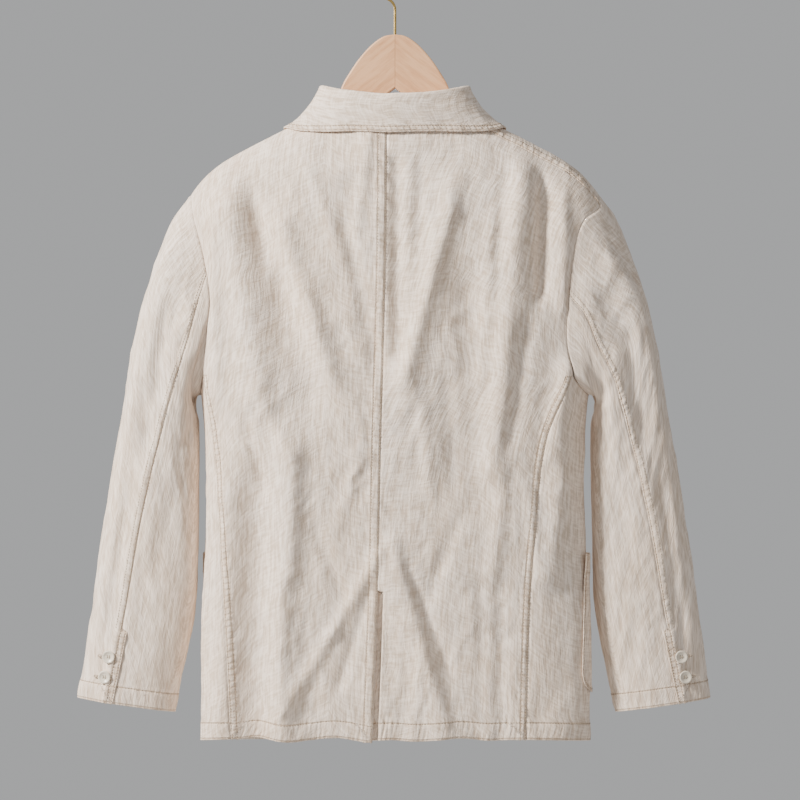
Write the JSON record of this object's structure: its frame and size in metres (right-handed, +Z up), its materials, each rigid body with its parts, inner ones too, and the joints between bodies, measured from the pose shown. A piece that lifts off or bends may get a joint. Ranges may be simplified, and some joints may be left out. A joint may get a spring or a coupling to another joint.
{
  "type": "single breasted blazer on a wooden hanger",
  "caption": "Unlined linen single breasted blazer with notch lapels, patch pockets and a back vent, hanging on a flat wooden hanger with a wire hook.",
  "frame": {"origin": "the inner top of the hanger's hook, where a rail carries it", "axes": "+Z up, the front of the blazer faces -Y and its back faces +Y, the wearer's left is +X"},
  "size_m": [0.7318, 0.1182, 0.895],
  "materials": {
    "linen": "washed natural linen, matt, with a slubby vertical weave",
    "button": "cream horn-effect, satin",
    "wood": "pale waxed beech",
    "hook": "satin brass wire"
  },
  "bodies": {
    "root": {"back_left": "linen", "back_right": "linen", "front_left": "linen", "front_right": "linen", "top_sleeve_left": "linen", "under_sleeve_left": "linen", "top_sleeve_right": "linen", "under_sleeve_right": "linen", "collar": "linen", "lapel_left": "linen", "lapel_right": "linen", "pocket_left": "linen", "pocket_right": "linen", "front_button_1": "button", "front_button_2": "button", "front_button_3": "button", "cuff_button_left_1": "button", "cuff_button_left_2": "button", "cuff_button_right_1": "button", "cuff_button_right_2": "button", "hanger_wood": "wood", "hanger_hook": "hook"}
  },
  "joints": []
}
